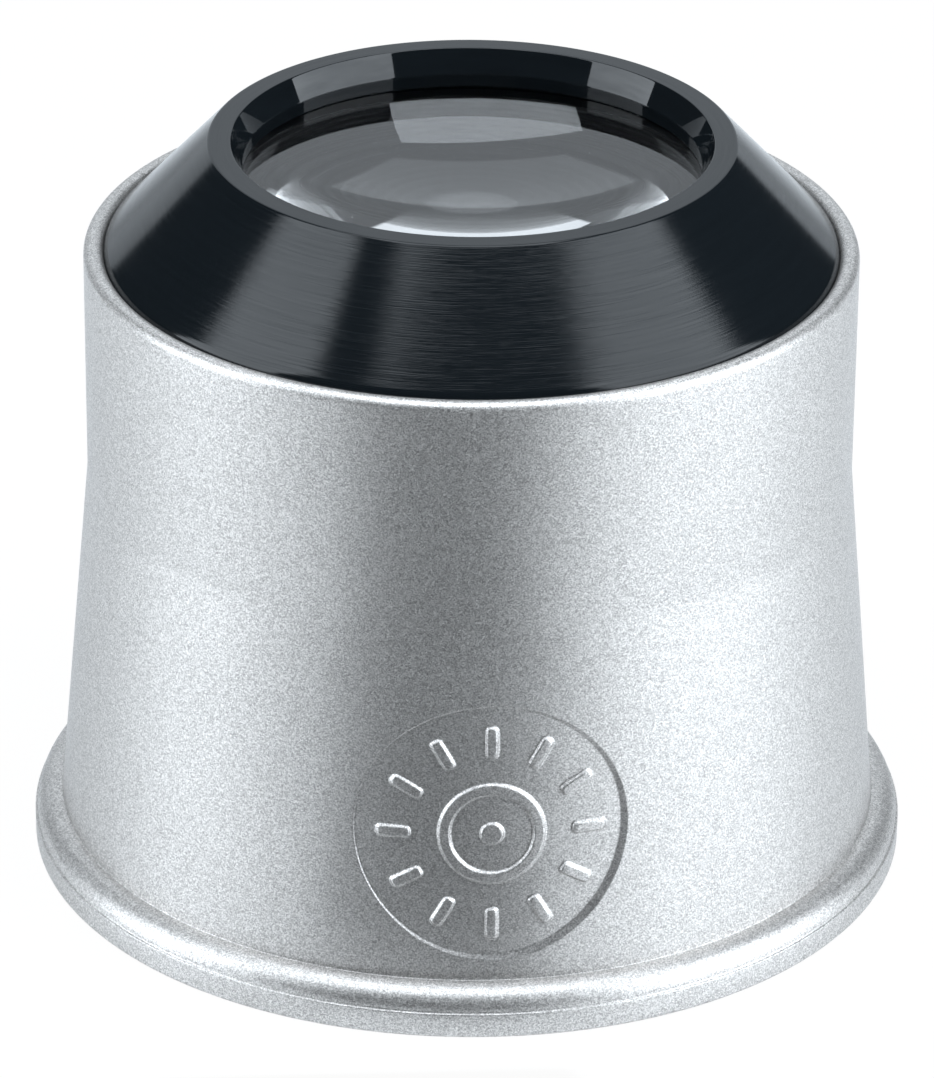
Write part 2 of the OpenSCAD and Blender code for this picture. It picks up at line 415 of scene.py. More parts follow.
def moulded_inside(finishes):
    """Uncoated black ABS inside the eyecup: matt, with the mould's fine spark-eroded grain."""
    material, tree, place = blank_material("moulded_inside")
    colours = shade(finishes.inner, 0.7), shade(finishes.inner, 1.3)
    pits, colour, rough = grained(tree, place, 0.00018, 3.0, 0.6, colours, (0.48, 0.62))
    bump = add(tree, "ShaderNodeBump", {"Strength": 0.6, "Distance": 0.00001}, {"Height": pits})
    shader = add(
        tree, "ShaderNodeBsdfPrincipled", {"IOR": 1.53},
        {"Base Color": colour, "Roughness": rough, "Normal": bump.outputs[0]},
    )
    return surfaced(material, shader)


def black_anodised(finishes, name, groove, dullest, brightest, index):
    """Turned aluminium, anodised and dyed black. The oxide is a clear dark skin that mirrors like thin glass,
    and its pores bring its index down, to 1.36 where they are open and 1.44 where they are sealed. The tool's
    fine grooves, groove metres deep, run round it and pull every reflection into streaks, and their floors
    are duller and mirror less. They are drawn 0.22 mm apart so that they show. Their count follows 1.7 times
    the radius less the height, which grows across the cone as well as across a flat face."""
    material, tree, place = blank_material(name)
    parts = add(tree, "ShaderNodeSeparateXYZ", None, {0: place})
    flat = add(tree, "ShaderNodeCombineXYZ", None, {0: parts.outputs[0], 1: parts.outputs[1]})
    radius = add(tree, "ShaderNodeVectorMath", None, {0: flat.outputs[0]}, operation="LENGTH")
    heading = add(tree, "ShaderNodeVectorMath", None, {0: flat.outputs[0]}, operation="NORMALIZE")
    outward = add(tree, "ShaderNodeMath", {1: 1.7}, {0: radius.outputs["Value"]}, operation="MULTIPLY")
    across = add(
        tree, "ShaderNodeMath", None, {0: outward.outputs[0], 1: parts.outputs[2]}, operation="SUBTRACT"
    )
    count = add(tree, "ShaderNodeMath", {1: 1 / 0.00022}, {0: across.outputs[0]}, operation="MULTIPLY")
    grooves = add(
        tree, "ShaderNodeTexNoise", {"Scale": 3.0, "Detail": 3.0, "Roughness": 0.6},
        {"Vector": heading.outputs[0], "W": count.outputs[0]}, noise_dimensions="4D",
    )
    bump = add(
        tree, "ShaderNodeBump", {"Strength": 1.0, "Distance": groove}, {"Height": grooves.outputs["Fac"]}
    )
    colour = add(
        tree, "ShaderNodeMix", {6: shade(finishes.anodised, 0.6), 7: shade(finishes.anodised, 1.4)},
        {0: grooves.outputs["Fac"]}, data_type="RGBA",
    )
    dust = add(
        tree, "ShaderNodeTexNoise", {"Scale": 1 / 0.0011, "Detail": 4.0, "Roughness": 0.7}, {"Vector": place}
    )
    turned_rough = add(
        tree, "ShaderNodeMapRange",
        {"From Min": 0.3, "From Max": 0.7, "To Min": brightest, "To Max": dullest},
        {"Value": grooves.outputs["Fac"]},
    )
    rough = add(
        tree, "ShaderNodeMath", {1: 0.3 * brightest},
        {0: dust.outputs["Fac"], 2: turned_rough.outputs["Result"]}, operation="MULTIPLY_ADD",
    )
    polish = add(
        tree, "ShaderNodeMapRange", {"From Min": 0.3, "From Max": 0.7, "To Min": 0.6, "To Max": 0.4},
        {"Value": grooves.outputs["Fac"]},
    )
    shader = add(
        tree, "ShaderNodeBsdfPrincipled", {"IOR": index},
        {
            "Base Color": colour.outputs[2], "Roughness": rough.outputs[0], "Normal": bump.outputs[0],
            "Specular IOR Level": polish.outputs["Result"],
        },
    )
    return surfaced(material, shader)


def black_blasted(finishes):
    """Blasted and black anodised aluminium: a matt, slightly pitted skin that swallows stray light."""
    material, tree, place = blank_material("black_blasted")
    colours = shade(finishes.blasted, 0.6), shade(finishes.blasted, 1.5)
    pits, colour, rough = grained(tree, place, 0.00012, 4.0, 0.7, colours, (0.42, 0.58))
    bump = add(tree, "ShaderNodeBump", {"Strength": 0.8, "Distance": 0.000012}, {"Height": pits})
    shader = add(
        tree, "ShaderNodeBsdfPrincipled", {"IOR": 1.6},
        {"Base Color": colour, "Roughness": rough, "Normal": bump.outputs[0]},
    )
    return surfaced(material, shader)


def optical_glass(finishes):
    """Polished crown glass: clear and mirror smooth, with the faintest film left by a cleaning cloth."""
    material, tree, place = blank_material("optical_glass")
    wiped = add(
        tree, "ShaderNodeTexNoise", {"Scale": 1 / 0.0009, "Detail": 3.0, "Roughness": 0.5}, {"Vector": place}
    )
    rough = add(
        tree, "ShaderNodeMapRange", {"From Min": 0.4, "From Max": 0.7, "To Min": 0.0, "To Max": 0.0004},
        {"Value": wiped.outputs["Fac"]},
    )
    shader = add(
        tree, "ShaderNodeBsdfPrincipled",
        {"Base Color": (1, 1, 1, 1), "IOR": finishes.glass_ior, "Transmission Weight": 1.0},
        {"Roughness": rough.outputs["Result"]},
    )
    return surfaced(material, shader)


def ground_glass(finishes):
    """A lens's ground edge, blackened so that it doesn't scatter light: dull and slightly grainy."""
    material, tree, place = blank_material("ground_glass")
    colours = shade(finishes.ground, 0.3), shade(finishes.ground, 0.8)
    colour, rough = grained(tree, place, 0.00008, 3.0, 0.5, colours, (0.5, 0.7))[1:]
    shader = add(
        tree, "ShaderNodeBsdfPrincipled", {"IOR": 1.52}, {"Base Color": colour, "Roughness": rough}
    )
    return surfaced(material, shader)


# Eyecup


def badge_patch(badge, wall_at):
    """Points of the badge on a polar grid, ordered outwards, in millimetres: rows by radius, columns by
    angle. Twelve equal sectors each have a tick on their middle line, and columns beside a tick keep a fixed
    distance from that line, so that its edges lie on the grid. The surface is the wall's radius less the
    recess's depth, plus the raised lines, whose ends are rounded. The recess falls from its edge to a floor
    that leans a little to the lower right, steeply on the left and gently on the right."""
    edge, line, bevel = badge.radius / MM, badge.line / MM, badge.bevel / MM
    tip = edge - badge.margin / MM
    root = tip - badge.tick / MM
    ring_out = badge.ring / MM
    ring_in = ring_out - line
    dot = line
    # Rows and columns lie close together where the surface bends: on the soft sides and at the badge's edge.
    fine = bevel * np.array([-0.75, -0.5, -0.25, 0, 0.25, 0.5, 0.75])
    radii = np.concatenate([
        [dot * 0.5], dot + fine, [0.75, 1.05, 1.35], ring_in + fine, [(ring_in + ring_out) / 2],
        ring_out + fine, [2.5, 2.8], root + fine, np.linspace(root + 0.3, tip - 0.3, 3), tip + fine,
        [edge - 0.62, edge - 0.46], np.linspace(edge - 0.34, edge + 0.02, 13), [edge + 0.05, edge + 0.14],
    ])
    side = line / 2 + bevel * np.array([-0.8, -0.5, -0.25, 0, 0.25, 0.5, 0.8])
    beside = np.concatenate([[0], side, [line / 2 + bevel * 1.6]])
    count = 12
    sector = np.pi / count
    shares = np.array([0.25, 0.5, 0.75, 1.0])
    half = beside[None, :] / np.clip(radii, 2.6, 4.8)[:, None]
    gap = half[:, -1:] + (sector - half[:, -1:]) * shares
    half = np.concatenate([half, gap], 1)
    one = np.concatenate([-half[:, :0:-1], half[:, :-1]], 1)
    ticks = np.arange(count) * 2 * sector
    angle = (one[:, None, :] + ticks[None, :, None]).reshape(len(radii), -1)
    # The first column points to the lower right, to the first corner of the rectangle round the badge.
    angle = angle - 2 * sector
    rho = radii[:, None] + 0 * angle
    x, z = rho * np.cos(angle), rho * np.sin(angle)
    off = np.mod(angle + sector, 2 * sector) - sector
    lateral = np.abs(rho * np.sin(off))
    soft = line * 0.4
    over_side = np.clip(lateral - line / 2 + soft, 0, None)
    over_end = np.clip(np.abs(rho - (root + tip) / 2) - (tip - root) / 2 + soft, 0, None)
    inside_tick = np.hypot(over_side, over_end) - soft
    inside_ring = np.abs(rho - (ring_in + ring_out) / 2) - line / 2
    inside_dot = rho - dot
    nearest = np.minimum(np.minimum(inside_tick, inside_ring), inside_dot)
    raised = badge.relief / MM * soft_step(0.5 - nearest / bevel)
    # toward is 0 in the middle and nearly 1 at the edge's lower right, and blend is how softly the floor
    # meets the fall.
    toward = (x * 0.85 - z * 0.5) / edge
    blend = 0.008
    floor = badge.depth / MM + badge.lean / MM * toward
    fall = np.clip(edge - rho, 0, None) * (0.75 - 0.3 * toward)
    recess = floor - np.log1p(np.exp((floor - fall) / blend)) * blend
    recess = np.clip(recess, 0, None) * (rho < edge + 0.03)
    middle_z = badge.centre_z / MM
    height = z + middle_z
    y = -np.sqrt((wall_at(height) - (recess - raised)) ** 2 - x * x)
    middle = np.array([0, -(wall_at(middle_z) - (badge.depth - badge.relief) / MM), middle_z])
    return np.stack([x, y, height], -1), middle


class LOUPE_OT_eyecup(bpy.types.Operator):
    """Build the eyecup: lacquered outside, black inside, badge and inner thread"""

    bl_idname = "loupe.eyecup"
    bl_label = "Eyecup"

    def execute(self, context):
        scene = context.scene
        cup, badge, cell = scene.loupe_eyecup, scene.loupe_badge, scene.loupe_cell
        rim, top, edge_h = cup.rim / MM, cup.height / MM, cup.edge_h / MM
        foot, barrel, taper = cup.foot / MM, cup.barrel / MM, cup.taper_h / MM
        foot_z, wall = edge_h + cup.bead_h / MM, cup.wall / MM
        lip, seat, bore, boss = cup.lip / MM, cup.seat_z / MM, cup.bore / MM, cup.boss_z / MM

        def wall_at(z):
            """Radius of the wall: straight from the foot to the barrel, then constant."""
            return barrel + (foot - barrel) * np.clip((taper - z) / (taper - foot_z), 0, None)

        inner, inner_foot = barrel - wall, foot - wall
        arcs = rounded([
            (rim, 0, 0.09), (rim, edge_h, 0.03), (foot, foot_z, 0.05), (barrel, taper, 5), (barrel, top, 0.1),
            (lip, top, 0.1), (lip, seat, 0.04), (bore, seat, 0.06), (bore, boss, 0.08),
            (inner, boss - 0.5, 0.3), (inner, taper, 4), (inner_foot, foot_z, 3), (inner_foot, 0, 0.75),
        ])
        # The lip is fully rounded: a quarter circle outside its highest line and another inside it.
        outer_r, inner_r, crest = cup.lip_outer / MM, cup.lip_inner / MM, top + cup.lip_rise / MM
        swing = np.linspace(np.pi / 2, 0, 13)
        outward = np.stack([np.sin(swing), np.cos(swing)], -1)
        arcs[4] = [barrel - outer_r, crest - outer_r] + outer_r * outward
        swing = np.linspace(0, -np.pi / 2, 13)
        inward = np.stack([np.sin(swing), np.cos(swing)], -1)
        arcs[5] = [lip + inner_r, crest - inner_r] + inner_r * inward
        # The plain edge ends in a small rounding, and the bead rises from a narrow ledge inside it as a
        # quarter ellipse.
        ledge, ease = cup.ledge / MM, 0.05
        swing = np.linspace(0, np.pi / 2, 5)
        edge = [rim - ease, edge_h - ease] + ease * np.stack([np.cos(swing), np.sin(swing)], -1)
        swing = np.linspace(0, np.pi / 2, 18)[:-1]
        bead = [rim - ledge - foot, foot_z - edge_h] * np.stack([np.cos(swing), np.sin(swing)], -1)
        bead = bead + [foot, edge_h]
        # Round the badge the wall has even cells, as many in height as across. The rectangle they fill
        # reaches 5.8 mm up and down from the badge's middle and 23 degrees to each side.
        cells, tall_half, wide_half = 72, 5.8, math.radians(23)
        middle_z = badge.centre_z / MM
        wall_z = np.linspace(middle_z - tall_half, middle_z + tall_half, cells + 1)
        tall = np.stack([wall_at(wall_z), wall_z], -1)
        upper = straight(arcs[3][-1], arcs[4][0], 8)
        thread = straight(arcs[7][-1], arcs[8][0], 56)
        taper_in = straight(arcs[10][-1], arcs[11][0], 12)
        outline, starts = joined(
            arcs[0], edge, bead, arcs[2][1:], tall, arcs[3], upper, arcs[4], arcs[5], arcs[6], arcs[7],
            thread, arcs[8], arcs[9], arcs[10], taper_in, arcs[11], arcs[12],
        )
        near = np.linspace(-wide_half, wide_half, cells + 1)
        far = np.linspace(wide_half, 2 * np.pi - wide_half, cup.columns + 1)[1:-1]
        around = np.concatenate([near, far])
        rows, columns = len(outline), len(around)
        points = turned(outline, around)
        # Its thread starts half a turn lower than the cell's, so that each ridge runs in the other's groove.
        cut_thread(points, outline, around, slice(starts[11], starts[12]), boss, seat, cell, 0.5, -1)

        # The badge's patch replaces the even cells. The lacquer reaches over the lip down to the seat, and
        # under the rim to the middle of its inner corner.
        start = starts[4]
        end = start + cells
        quads = ring_faces(rows, columns)
        keep = np.ones(quads.shape[:2], bool)
        keep[start:end, :cells] = False
        black = np.zeros(rows, bool)
        black[starts[9] : starts[17] + HALF_CORNER] = True
        parts = by_row(black, quads)
        grid = np.arange(rows * columns).reshape(rows, columns)
        frame_line = np.concatenate([
            grid[start:end, cells], grid[end, cells:0:-1], grid[end:start:-1, 0], grid[start, 0:cells],
        ])

        patch, middle = badge_patch(badge, wall_at)
        # The transition from the badge's round edge to the rectangle is made in angle and height, so it stays
        # on the wall.
        outer = patch[-1]
        outer_turn = np.arctan2(outer[:, 0], -outer[:, 1])
        flat_points = points.reshape(-1, 3)
        line_turn = np.arctan2(flat_points[frame_line, 0], -flat_points[frame_line, 1])
        line_z = flat_points[frame_line, 2]
        share = np.array([0.2, 0.45, 0.72])[:, None]
        turn = outer_turn + (line_turn - outer_turn) * share
        z = outer[:, 2] + (line_z - outer[:, 2]) * share
        r = wall_at(z)
        between = np.stack([r * np.sin(turn), -r * np.cos(turn), z], -1)
        patch = np.concatenate([patch, between])
        first = len(flat_points)
        ids = first + np.arange(patch.shape[0] * patch.shape[1]).reshape(patch.shape[:2])
        ids = np.concatenate([ids, frame_line[None]])
        right = np.roll(ids, -1, 1)
        patch_quads = np.stack([ids[:-1], ids[1:], right[1:], right[:-1]], -1).reshape(-1, 4)
        centre_id = first + patch.shape[0] * patch.shape[1]
        fan = np.stack([np.full(ids.shape[1], centre_id), ids[0], right[0]], -1)

        all_points = np.concatenate([flat_points, patch.reshape(-1, 3), middle[None]])
        faces = quads[keep].tolist() + patch_quads.tolist() + fan.tolist()
        all_parts = np.concatenate([parts[keep], np.zeros(len(patch_quads) + len(fan), int)])
        finishes = [silver_lacquer(scene.loupe_finishes), moulded_inside(scene.loupe_finishes)]
        piece = solid("cup_shell", all_points, faces, finishes, all_parts)
        fitted(piece, "eyecup", "silver_lacquer", "eyecup")
        return {"FINISHED"}


# Lens cell, lenses and rings


class LOUPE_OT_lens_cell(bpy.types.Operator):
    """Build the lens cell: cone, flat face, window and threaded neck"""

    bl_idname = "loupe.lens_cell"
    bl_label = "Lens cell"

    def execute(self, context):
        cell, cup = context.scene.loupe_cell, context.scene.loupe_eyecup
        top, flange = cell.top / MM, (cell.flange - cell.foot_gap) / MM
        cone_z, land = cell.cone_z / MM, cell.land / MM
        window, clear, sink = cell.window / MM, cell.clear / MM, cell.sink_h / MM
        neck, neck_z, seat = cell.neck / MM, low("lens_cell") / MM, cup.seat_z / MM
        pocket, keeper = cell.pocket / MM, cell.keeper / MM
        # The pocket ends 0.15 mm above the rear lens's lowest point. Below it is the retaining ring's thread.
        lens_z, step_z = high("front_lens") / MM, low("rear_lens") / MM + 0.15
        arcs = rounded([
            (neck, neck_z, 0.3), (neck, seat, 0.08), (flange, seat, 0.05),
            (flange, cone_z, cell.foot_round / MM), (land, top, 0.12), (window, top, 0.05),
            (clear, top - sink, 0.12), (clear, lens_z, 0.05), (pocket, lens_z, 0.04),
            (pocket, step_z, 0.05), (keeper, step_z, 0.05), (keeper, neck_z, 0.08),
        ])
        thread = straight(arcs[0][-1], arcs[1][0], 58)
        cone = straight(arcs[3][-1], arcs[4][0], 8)
        outline, starts = joined(arcs[0], thread, arcs[1], arcs[2], arcs[3], cone, *arcs[4:])
        around = full_turn(288)
        points = turned(outline, around)
        cut_thread(points, outline, around, slice(starts[1], starts[2]), neck_z, seat, cell, 0, 1)
        faces = ring_faces(len(outline), len(around))
        # The window's countersink and throat are cut with a finer tool, from the top edge's inner corner to
        # the lens.
        fine = np.zeros(len(outline), bool)
        fine[starts[7] + HALF_CORNER : starts[9] + HALF_CORNER] = True
        parts = by_row(fine, faces)
        finishes = context.scene.loupe_finishes
        finish = [
            black_anodised(
                finishes, "black_anodised", groove=0.0000036, dullest=0.17, brightest=0.04, index=1.36
            ),
            black_anodised(
                finishes, "black_fine_turned", groove=0.0000001, dullest=0.04, brightest=0.02, index=1.44
            ),
        ]
        faces = faces.reshape(-1, 4).tolist()
        piece = solid("cell_turned", points.reshape(-1, 3), faces, finish, parts.ravel())
        fitted(piece, "cell", "black_anodised", "lens_cell")
        return {"FINISHED"}


def lens_outline(radius, edge, curve, steps, ease=0.06, hold=0.02):
    """Half section of a flat and curved lens, from the middle of its curved face to that of its flat face,
    which lies on height 0. At each radius the curved face lies curve minus the root of curve squared minus
    that radius squared above its middle."""
    bulge = curve - math.sqrt(curve * curve - radius * radius)
    r = np.sin(np.linspace(0, 1, steps + 1)[1:] * math.asin((radius - ease) / curve)) * curve
    face = np.stack([r, -edge - bulge + curve - np.sqrt(curve * curve - r * r)], -1)
    side_z = [face[-1, 1] + ease, face[-1, 1] + ease + hold, -ease - hold, -ease]
    side = np.stack([np.full(4, radius), side_z], -1)
    flat_r = np.concatenate([[radius - ease, radius - ease - hold], np.linspace(radius - 0.4, 0.6, 12)])
    return np.concatenate([face, side, np.stack([flat_r, 0 * flat_r], -1)]), -edge - bulge


class LOUPE_OT_lenses(bpy.types.Operator):
    """Build the two lenses, flat on one side and curved on the other"""

    bl_idname = "loupe.lenses"
    bl_label = "Lenses"

    def execute(self, context):
        scene = context.scene
        optics, finishes = scene.loupe_optics, scene.loupe_finishes
        steps = 64
        outline, middle = lens_outline(reach("front_lens") / MM, optics.edge / MM, optics.curve / MM, steps)
        surfaces = [optical_glass(finishes), ground_glass(finishes)]
        around = full_turn(384)
        rows, columns = len(outline), len(around)
        grid = turned(outline, around)
        quads = ring_faces(rows, columns, closed=False)
        # The four rows after the curved face are the ground edge.
        edge_rows = np.zeros(rows - 1, bool)
        edge_rows[steps : steps + 4] = True
        parts = by_row(edge_rows, quads)
        poles = np.array([[0, 0, middle], [0, 0, 0.0]])
        ids = np.arange(columns)
        right = (ids + 1) % columns
        last = (rows - 1) * columns
        count = rows * columns
        below = np.stack([np.full(columns, count), right, ids], -1)
        above = np.stack([np.full(columns, count + 1), last + ids, last + right], -1)
        points = np.concatenate([grid.reshape(-1, 3), poles])
        faces = quads.reshape(-1, 4).tolist() + below.tolist() + above.tolist()
        all_parts = np.concatenate([parts.ravel(), np.zeros(2 * columns, int)])
        front = points + [0, 0, high("front_lens") / MM]
        piece = solid("front_glass", front, faces, surfaces, all_parts)
        fitted(piece, "optics", "optical_glass", "front_lens")
        # The rear lens is the front one turned half a turn about X, which keeps its faces outwards.
        rear = points * [1, -1, -1] + [0, 0, low("rear_lens") / MM]
        piece = solid("rear_glass", rear, faces, surfaces, all_parts)
        fitted(piece, "optics", "optical_glass", "rear_lens")
        return {"FINISHED"}


class LOUPE_OT_spacer_ring(bpy.types.Operator):
    """Build the spacer ring, grooved inside to stop stray light"""

    bl_idname = "loupe.spacer_ring"
    bl_label = "Spacer ring"

    def execute(self, context):
        outer = reach("spacer_ring") / MM
        inner = outer - context.scene.loupe_optics.spacer_wall / MM
        base, top = low("spacer_ring") / MM, high("spacer_ring") / MM
        arcs = rounded([(outer, base, 0.05), (outer, top, 0.05), (inner, top, 0.03), (inner, base, 0.03)])
        # Seven rounded grooves, 0.11 mm deep, run between two plain lands, 0.2 mm wide.
        count, deep, land = 7, 0.11, 0.2
        z = np.linspace(top - land, base + land, 41)
        wave = np.abs(np.sin(np.pi * (z - base - land) / ((top - base - 2 * land) / count)))
        grooves = np.stack([inner + deep * wave, z], -1)
        outline = np.concatenate([arcs[0], arcs[1], arcs[2], grooves, arcs[3]])
        around = full_turn(192)
        faces = ring_faces(len(outline), len(around)).reshape(-1, 4).tolist()
        material = black_blasted(context.scene.loupe_finishes)
        piece = solid("spacer_grooved", turned(outline, around).reshape(-1, 3), faces, [material])
        fitted(piece, "optics", "black_blasted", "spacer_ring")
        return {"FINISHED"}


class LOUPE_OT_retaining_ring(bpy.types.Operator):
    """Build the retaining ring with its two spanner notches"""

    bl_idname = "loupe.retaining_ring"
    bl_label = "Retaining ring"

    def execute(self, context):
        sizes = context.scene.loupe_optics
        outer, inner = reach("retaining_ring") / MM, context.scene.loupe_cell.clear / MM
        base, top = low("retaining_ring") / MM, high("retaining_ring") / MM
        arcs = rounded([(outer, base, 0.1), (outer, top, 0.06), (inner, top, 0.15), (inner, base, 0.06)], 5)
        outline, starts = joined(*arcs)
        lifted = np.zeros(len(outline))
        lifted[: starts[1]] = 1
        lifted[starts[3] :] = 1
        # Beside a notch the columns keep a fixed distance from its middle line, so that its walls are
        # parallel. Each wall slopes over 0.03 mm to both sides, and plain columns fill the space between the
        # notches.
        wide, slope, plain = sizes.notch_w / MM / 2, 0.03, 64
        beside = wide + np.array([-0.3, -2 * slope, -slope, 0.0, slope, 2 * slope, 0.2])
        beside = np.sort(np.concatenate([-beside, [0.0], beside]))
        near = np.arcsin(beside[None, :] / outline[:, :1])
        rest = np.linspace(0, 1, plain + 2)[None, 1:-1]
        gap = near[:, -1:] + (np.pi + near[:, :1] - near[:, -1:]) * rest
        half = np.concatenate([near, gap], 1)
        around = np.concatenate([half, half + np.pi], 1) + np.pi / 2
        depth = soft_step((wide + slope - np.abs(beside)) / (2 * slope))
        depth = np.concatenate([depth, np.zeros(plain)])
        depth = np.concatenate([depth, depth]) * sizes.notch_h / MM
        r = outline[:, :1]
        z = outline[:, 1:] + lifted[:, None] * depth[None, :]
        points = np.stack([r * np.sin(around), -r * np.cos(around), z], -1)
        faces = ring_faces(*around.shape).reshape(-1, 4).tolist()
        material = black_blasted(context.scene.loupe_finishes)
        piece = solid("keeper_ring", points.reshape(-1, 3), faces, [material])
        fitted(piece, "cell", "black_blasted", "retaining_ring")
        return {"FINISHED"}


# Studio


def panel(name, centre, target, width, height, strength, turn=0.0):
    """A rectangular daylight lamp at centre that faces target, turned about its own middle. Its power is
    strength times pi times its area, so that strength is its brightness where 1 is white."""
    lamp = bpy.data.lights.new(name, "AREA")
    lamp.shape = "RECTANGLE"
    lamp.size, lamp.size_y = width, height
    lamp.energy = strength * math.pi * width * height
    lamp.color = linear(DAYLIGHT)
    piece = bpy.data.objects.new(name, lamp)
    piece.location = centre
    piece.rotation_euler = (Vector(target) - Vector(centre)).to_track_quat("-Z", "Y").to_euler()
    piece.rotation_euler.rotate_axis("Z", math.radians(turn))
    bpy.context.scene.collection.objects.link(piece)
    return piece


def standing_panel(name, heading, half_width, top, away, strength):
    """An upright panel that stands on the floor, away metres from the loupe's axis. heading is its middle's
    turn from -Y towards +X, half_width how far it reaches to each side of that, and top how high, all in
    degrees as the loupe sees them."""
    turn, wide, tall = (math.radians(angle) for angle in (heading, half_width, top))
    height = away * math.tan(tall)
    foot = Vector((math.sin(turn), -math.cos(turn), 0)) * away
    middle = Vector((0, 0, height / 2))
    return panel(name, foot + middle, middle, 2 * away * math.tan(wide), height, strength)


def flat_sheet(name, corners, material):
    """A flat sheet of stage from its four corners, in metres."""
    mesh = bpy.data.meshes.new(name)
    mesh.from_pydata(corners, [], [(0, 1, 2, 3)])
    mesh.materials.append(material)
    piece = bpy.data.objects.new(name, mesh)
    bpy.context.scene.collection.objects.link(piece)
    return piece


def floor_acrylic(rim, daylight):
    """A white acrylic sheet, satin polished. Seen directly it is nearly white by itself outside the loupe's
    rim, in gloss and through glass about a fifth so, and the rest of it takes light, shadow and sheen as the
    sheet does. Inside the rim, where only the lenses' light comes in, most of it is a painted dim glow, a
    plain level that stands in for that light."""
    material, tree, place = blank_material("floor_acrylic")
    away = add(tree, "ShaderNodeVectorMath", None, {0: place}, operation="LENGTH")
    outside = add(
        tree, "ShaderNodeMath", {1: rim}, {0: away.outputs["Value"]}, operation="GREATER_THAN"
    ).outputs[0]
    colours = shade(linear("#f0f0f0")), shade(linear("#f8f8f8"))
    colour, rough = grained(tree, place, 0.0008, 4.0, 0.5, colours, (0.22, 0.3))[1:]
    sheet = add(
        tree, "ShaderNodeBsdfPrincipled", {"IOR": 1.49}, {"Base Color": colour, "Roughness": rough}
    )
    direct, mirrored = ray_kinds(tree)
    mirrored_share = add(tree, "ShaderNodeMath", {1: 0.22}, {0: mirrored}, operation="MULTIPLY")
    outside_share = add(
        tree, "ShaderNodeMath", {1: 0.96}, {0: direct, 2: mirrored_share.outputs[0]},
        operation="MULTIPLY_ADD",
    )
    # Inside the rim, 0.65 of the floor is a painted glow at level 0.12 that stands in for the light the
    # lenses let in; outside it, share and level give the floor its even white.
    share = add(
        tree, "ShaderNodeMix", {2: 0.65}, {0: outside, 3: outside_share.outputs[0]}, data_type="FLOAT"
    )
    level = add(tree, "ShaderNodeMapRange", {"To Min": 0.12, "To Max": 1.0}, {"Value": outside})
    light = add(
        tree, "ShaderNodeMix", {6: shade(linear(daylight)), 7: (1, 1, 1, 1)}, {0: direct}, data_type="RGBA"
    )
    white = add(
        tree, "ShaderNodeEmission", None, {"Color": light.outputs[2], "Strength": level.outputs["Result"]}
    )
    mix = add(
        tree, "ShaderNodeMixShader", None, {0: share.outputs[0], 1: sheet.outputs[0], 2: white.outputs[0]}
    )
    return surfaced(material, mix)


def card_grey():
    """Dark grey card with a little grain, used to keep light off the loupe's front."""
    material, tree, place = blank_material("card_grey")
    fibres = add(
        tree, "ShaderNodeTexNoise", {"Scale": 1 / 0.0006, "Detail": 3.0, "Roughness": 0.5}, {"Vector": place}
    )
    colour = add(
        tree, "ShaderNodeMix", {6: shade(linear("#525252")), 7: shade(linear("#606060"))},
        {0: fibres.outputs["Fac"]}, data_type="RGBA",
    )
    shader = add(tree, "ShaderNodeBsdfDiffuse", None, {"Color": colour.outputs[2]})
    return surfaced(material, shader)


def room_light(strength, backdrop):
    """The world: white for the camera, a plain dim light for matt surfaces, and for gloss and glass a flat
    white backdrop behind the loupe in an otherwise dark room. It reaches 0.69 of its distance to each side
    and 1.6 of it upwards, with soft edges."""
    world = bpy.data.worlds.new("studio")
    bpy.context.scene.world = world
    world.use_nodes = True
    tree = world.node_tree
    tree.nodes.clear()
    out = add(tree, "ShaderNodeOutputWorld")
    heading = add(tree, "ShaderNodeTexCoord").outputs["Generated"]
    parts = add(tree, "ShaderNodeSeparateXYZ", None, {0: heading})
    behind = add(tree, "ShaderNodeMath", {1: 0.001}, {0: parts.outputs[1]}, operation="MAXIMUM")
    sideways = add(tree, "ShaderNodeMath", None, {0: parts.outputs[0]}, operation="ABSOLUTE")
    across = add(
        tree, "ShaderNodeMath", None, {0: sideways.outputs[0], 1: behind.outputs[0]}, operation="DIVIDE"
    )
    upward = add(
        tree, "ShaderNodeMath", None, {0: parts.outputs[2], 1: behind.outputs[0]}, operation="DIVIDE"
    )
    side = add(
        tree, "ShaderNodeMapRange", {"From Min": 0.67, "From Max": 0.71, "To Min": 1, "To Max": 0},
        {"Value": across.outputs[0]},
    )
    below = add(
        tree, "ShaderNodeMapRange", {"From Min": 1.56, "From Max": 1.64, "To Min": 1, "To Max": 0},
        {"Value": upward.outputs[0]},
    )
    wall = add(
        tree, "ShaderNodeMath", None, {0: side.outputs["Result"], 1: below.outputs["Result"]},
        operation="MULTIPLY",
    )
    level = add(tree, "ShaderNodeMapRange", {"To Min": 0.02, "To Max": backdrop}, {"Value": wall.outputs[0]})
    daylight = shade(linear(DAYLIGHT))
    glossy = add(tree, "ShaderNodeBackground", {"Color": daylight}, {"Strength": level.outputs["Result"]})
    dim = add(tree, "ShaderNodeBackground", {"Color": daylight, "Strength": strength})
    white = add(tree, "ShaderNodeBackground", {"Color": (1, 1, 1, 1), "Strength": 1.0})
    direct, mirrored = ray_kinds(tree)
    seen = add(
        tree, "ShaderNodeMixShader", None, {0: mirrored, 1: dim.outputs[0], 2: glossy.outputs[0]}
    )
    mix = add(tree, "ShaderNodeMixShader", None, {0: direct, 1: seen.outputs[0], 2: white.outputs[0]})
    tree.links.new(mix.outputs[0], out.inputs["Surface"])


